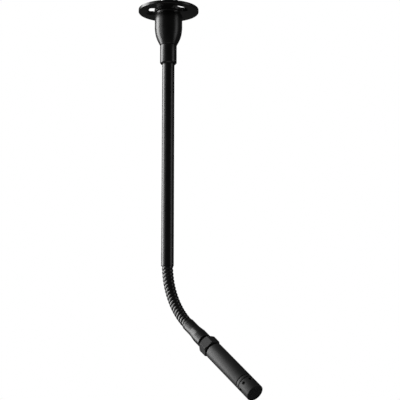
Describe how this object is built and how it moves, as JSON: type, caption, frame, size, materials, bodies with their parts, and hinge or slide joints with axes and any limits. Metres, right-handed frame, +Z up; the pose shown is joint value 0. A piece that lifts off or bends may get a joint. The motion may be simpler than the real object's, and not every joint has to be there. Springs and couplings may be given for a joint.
{
  "type": "gooseneck podium microphone",
  "caption": "Slim gooseneck microphone that hangs from a round slotted mounting flange, with a bell housing, a straight stem and a short flexible neck.",
  "frame": {"origin": "centre of the mounting flange, on its ceiling face", "axes": "+Z up, out of the ceiling face along the stem; +X is the side that the neck bends to; +Y completes the right-handed frame"},
  "size_m": [0.159, 0.0628, 0.4279],
  "materials": {
    "satin_black": "satin black powder coat",
    "matte_black": "matte black coat",
    "coil_black": "black finished spring wire",
    "nickel": "satin nickel plate",
    "steel": "bare steel",
    "grille_black": "black mesh",
    "gold": "gold plate",
    "black_plastic": "moulded black plastic",
    "board_green": "solder mask",
    "cable_black": "matte jacket",
    "felt": "felt",
    "film": "metallised film"
  },
  "bodies": {
    "stem": {"bell_housing": "satin_black", "connector_insert": "black_plastic", "connector_shell": "nickel", "contact_pin_1": "gold", "contact_pin_2": "gold", "contact_pin_3": "gold", "mounting_flange": "satin_black", "neck_core": "steel", "output_board": "board_green", "output_capacitor_1": "black_plastic", "output_capacitor_2": "black_plastic", "output_chip": "black_plastic", "signal_cable": "cable_black", "sleeve_set_screw": "steel", "stem_sleeve": "satin_black", "stem_tube": "satin_black", "tube_end_bush": "steel", "neck_coil_01": "coil_black"},
    "neck_link_02": {"neck_coil_02": "coil_black"},
    "neck_link_03": {"neck_coil_03": "coil_black"},
    "neck_link_04": {"neck_coil_04": "coil_black"},
    "neck_link_05": {"neck_coil_05": "coil_black"},
    "neck_link_06": {"neck_coil_06": "coil_black"},
    "neck_link_07": {"neck_coil_07": "coil_black"},
    "neck_link_08": {"neck_coil_08": "coil_black"},
    "neck_link_09": {"neck_coil_09": "coil_black"},
    "neck_link_10": {"neck_coil_10": "coil_black"},
    "neck_link_11": {"neck_coil_11": "coil_black"},
    "neck_link_12": {"neck_coil_12": "coil_black"},
    "neck_link_13": {"neck_coil_13": "coil_black"},
    "neck_link_14": {"neck_coil_14": "coil_black"},
    "neck_link_15": {"neck_coil_15": "coil_black"},
    "neck_link_16": {"neck_coil_16": "coil_black"},
    "neck_link_17": {"neck_coil_17": "coil_black"},
    "neck_end": {"neck_coil_18": "coil_black", "neck_ferrule": "matte_black", "threaded_stud": "matte_black"},
    "lock_nut": {"lock_nut": "matte_black"},
    "microphone": {"acoustic_felt": "felt", "amp_board": "board_green", "amp_capacitor": "black_plastic", "amp_chip": "black_plastic", "back_plate": "gold", "capsule_case": "nickel", "capsule_head": "matte_black", "capsule_insulator": "black_plastic", "diaphragm": "film", "diaphragm_ring": "gold", "front_grille": "grille_black", "mic_barrel": "matte_black", "spring_contact": "gold", "vent_screen": "grille_black"}
  },
  "joints": [
    {"name": "neck_bend", "type": "hinge", "parent": "stem", "child": "neck_link_02", "pos_m": [0.00029, 0, -0.27475], "axis": [0, -1, 0], "range_deg": [-15.9, 4.5], "deforming": ["neck_core", "signal_cable"]},
    {"name": "neck_sway", "type": "hinge", "parent": "neck_link_02", "child": "neck_link_03", "pos_m": [0.00071, 0, -0.27858], "axis": [0.991, 0, 0.1341], "range_deg": [-10.8, 10.8]},
    {"name": "neck_bend_2", "type": "hinge", "parent": "neck_link_03", "child": "neck_link_04", "pos_m": [0.00132, 0, -0.28239], "axis": [0, -1, 0], "range_deg": [-15.9, 4.5]},
    {"name": "neck_sway_2", "type": "hinge", "parent": "neck_link_04", "child": "neck_link_05", "pos_m": [0.00212, 0, -0.28616], "axis": [0.9732, 0, 0.2301], "range_deg": [-10.8, 10.8]},
    {"name": "neck_bend_3", "type": "hinge", "parent": "neck_link_05", "child": "neck_link_06", "pos_m": [0.0031, 0, -0.28989], "axis": [0, -1, 0], "range_deg": [-15.9, 4.5]},
    {"name": "neck_sway_3", "type": "hinge", "parent": "neck_link_06", "child": "neck_link_07", "pos_m": [0.00426, 0, -0.29356], "axis": [0.9461, 0, 0.324], "range_deg": [-10.8, 10.8]},
    {"name": "neck_bend_4", "type": "hinge", "parent": "neck_link_07", "child": "neck_link_08", "pos_m": [0.00559, 0, -0.29718], "axis": [0, -1, 0], "range_deg": [-15.9, 4.5]},
    {"name": "neck_sway_4", "type": "hinge", "parent": "neck_link_08", "child": "neck_link_09", "pos_m": [0.00711, 0, -0.30073], "axis": [0.9099, 0, 0.4148], "range_deg": [-10.8, 10.8]},
    {"name": "neck_bend_5", "type": "hinge", "parent": "neck_link_09", "child": "neck_link_10", "pos_m": [0.00879, 0, -0.30419], "axis": [0, -1, 0], "range_deg": [-15.9, 4.5]},
    {"name": "neck_sway_5", "type": "hinge", "parent": "neck_link_10", "child": "neck_link_11", "pos_m": [0.01064, 0, -0.30757], "axis": [0.8651, 0, 0.5016], "range_deg": [-10.8, 10.8]},
    {"name": "neck_bend_6", "type": "hinge", "parent": "neck_link_11", "child": "neck_link_12", "pos_m": [0.01266, 0, -0.31086], "axis": [0, -1, 0], "range_deg": [-15.9, 4.5]},
    {"name": "neck_sway_6", "type": "hinge", "parent": "neck_link_12", "child": "neck_link_13", "pos_m": [0.01483, 0, -0.31405], "axis": [0.812, 0, 0.5836], "range_deg": [-10.8, 10.8]},
    {"name": "neck_bend_7", "type": "hinge", "parent": "neck_link_13", "child": "neck_link_14", "pos_m": [0.01716, 0, -0.31712], "axis": [0, -1, 0], "range_deg": [-15.9, 4.5]},
    {"name": "neck_sway_7", "type": "hinge", "parent": "neck_link_14", "child": "neck_link_15", "pos_m": [0.01963, 0, -0.32008], "axis": [0.7512, 0, 0.6601], "range_deg": [-10.8, 10.8]},
    {"name": "neck_bend_8", "type": "hinge", "parent": "neck_link_15", "child": "neck_link_16", "pos_m": [0.02224, 0, -0.32291], "axis": [0, -1, 0], "range_deg": [-15.9, 4.5]},
    {"name": "neck_sway_8", "type": "hinge", "parent": "neck_link_16", "child": "neck_link_17", "pos_m": [0.02499, 0, -0.32561], "axis": [0.6832, 0, 0.7302], "range_deg": [-10.8, 10.8]},
    {"name": "neck_bend_9", "type": "hinge", "parent": "neck_link_17", "child": "neck_end", "pos_m": [0.02787, 0, -0.32818], "axis": [0, -1, 0], "range_deg": [-15.9, 4.5]},
    {"name": "lock_nut_turn", "type": "hinge", "parent": "neck_end", "child": "lock_nut", "pos_m": [0.06171, 0, -0.35365], "axis": [0.801, 0, -0.5986], "range_deg": [-180, 180]},
    {"name": "microphone_turn", "type": "hinge", "parent": "neck_end", "child": "microphone", "pos_m": [0.07012, 0, -0.35994], "axis": [0.801, 0, -0.5986], "range_deg": [-180, 180]}
  ],
  "couplings": [
    {"joint": "neck_bend_2", "follows": "neck_bend", "ratio": 1},
    {"joint": "neck_sway_2", "follows": "neck_sway", "ratio": 1},
    {"joint": "neck_bend_3", "follows": "neck_bend", "ratio": 1},
    {"joint": "neck_sway_3", "follows": "neck_sway", "ratio": 1},
    {"joint": "neck_bend_4", "follows": "neck_bend", "ratio": 1},
    {"joint": "neck_sway_4", "follows": "neck_sway", "ratio": 1},
    {"joint": "neck_bend_5", "follows": "neck_bend", "ratio": 1},
    {"joint": "neck_sway_5", "follows": "neck_sway", "ratio": 1},
    {"joint": "neck_bend_6", "follows": "neck_bend", "ratio": 1},
    {"joint": "neck_sway_6", "follows": "neck_sway", "ratio": 1},
    {"joint": "neck_bend_7", "follows": "neck_bend", "ratio": 1},
    {"joint": "neck_sway_7", "follows": "neck_sway", "ratio": 1},
    {"joint": "neck_bend_8", "follows": "neck_bend", "ratio": 1},
    {"joint": "neck_sway_8", "follows": "neck_sway", "ratio": 1},
    {"joint": "neck_bend_9", "follows": "neck_bend", "ratio": 1}
  ]
}
